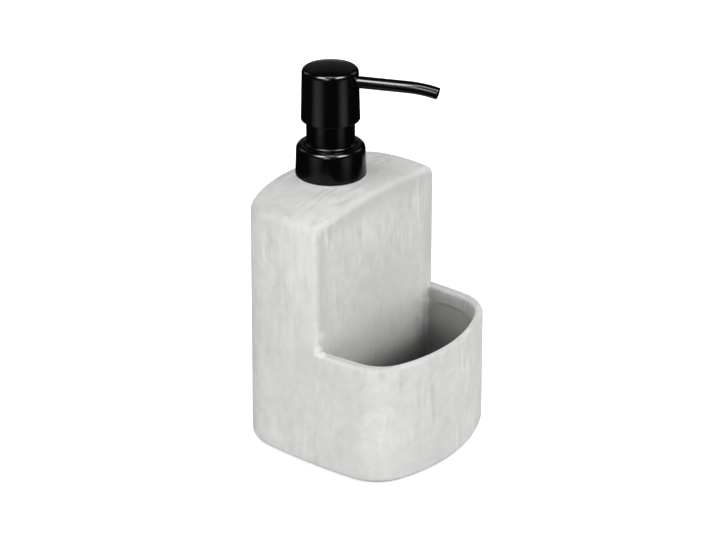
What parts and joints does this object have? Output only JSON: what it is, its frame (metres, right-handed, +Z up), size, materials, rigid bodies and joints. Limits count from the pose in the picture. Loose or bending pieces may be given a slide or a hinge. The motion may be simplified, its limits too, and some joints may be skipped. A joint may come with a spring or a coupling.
{
  "type": "soap pump caddy",
  "caption": "Free-standing ceramic caddy: soap bottle with a flat front wall, open sponge pocket in front, and a screw-in lotion pump with a swivelling bent spout.",
  "frame": {"origin": "centre of the base on the surface it stands on", "axes": "+Z up; the sponge pocket faces -Y and the bottle with the pump is at +Y"},
  "size_m": [0.1002, 0.1066, 0.187],
  "materials": {
    "stoneware": "matt, concrete look, lightly brushed",
    "pads": "matt",
    "bush": "moulded",
    "gasket": "soft",
    "housing": "milky, moulded",
    "guide": "moulded",
    "nut": "moulded",
    "collar": "satin",
    "stem": "moulded",
    "piston": "moulded",
    "piston_seat": "moulded",
    "spring": "drawn wire",
    "cage": "moulded",
    "ball": "polished",
    "dip_tube": "milky, extruded",
    "head": "satin",
    "core": "moulded",
    "spout": "satin"
  },
  "bodies": {
    "caddy": {"caddy_body": "stoneware", "foot_pads": "pads", "neck_insert": "bush"},
    "pump": {"pump_housing": "housing", "guide_cap": "guide", "dip_tube": "dip_tube", "ball_cage": "cage", "neck_gasket": "gasket", "return_spring": "spring"},
    "collar": {"collar_shell": "collar", "closure_nut": "nut"},
    "plunger": {"stem": "stem", "piston": "piston", "piston_seat": "piston_seat"},
    "head": {"head_shell": "head", "head_core": "core", "spout_tube": "spout"},
    "inlet_ball": {"check_ball": "ball"}
  },
  "joints": [
    {"name": "pump_lift", "type": "slide", "parent": "caddy", "child": "pump", "axis": [0, 0, 1], "range_m": [0, 0.15]},
    {"name": "collar_turn", "type": "hinge", "parent": "pump", "child": "collar", "pos_m": [0, 0.02228, 0.14], "axis": [0, 0, 1], "continuous": true},
    {"name": "press", "type": "slide", "parent": "pump", "child": "plunger", "axis": [0, 0, -1], "range_m": [0, 0.0096], "stiffness_N_per_m": 900, "springref_m": -0.006, "deforming": ["return_spring"]},
    {"name": "spout_swivel", "type": "hinge", "parent": "plunger", "child": "head", "pos_m": [0, 0.02228, 0.17], "axis": [0, 0, 1], "continuous": true},
    {"name": "ball_lift", "type": "slide", "parent": "pump", "child": "inlet_ball", "axis": [0, 0, 1], "range_m": [0, 0.0012]}
  ]
}
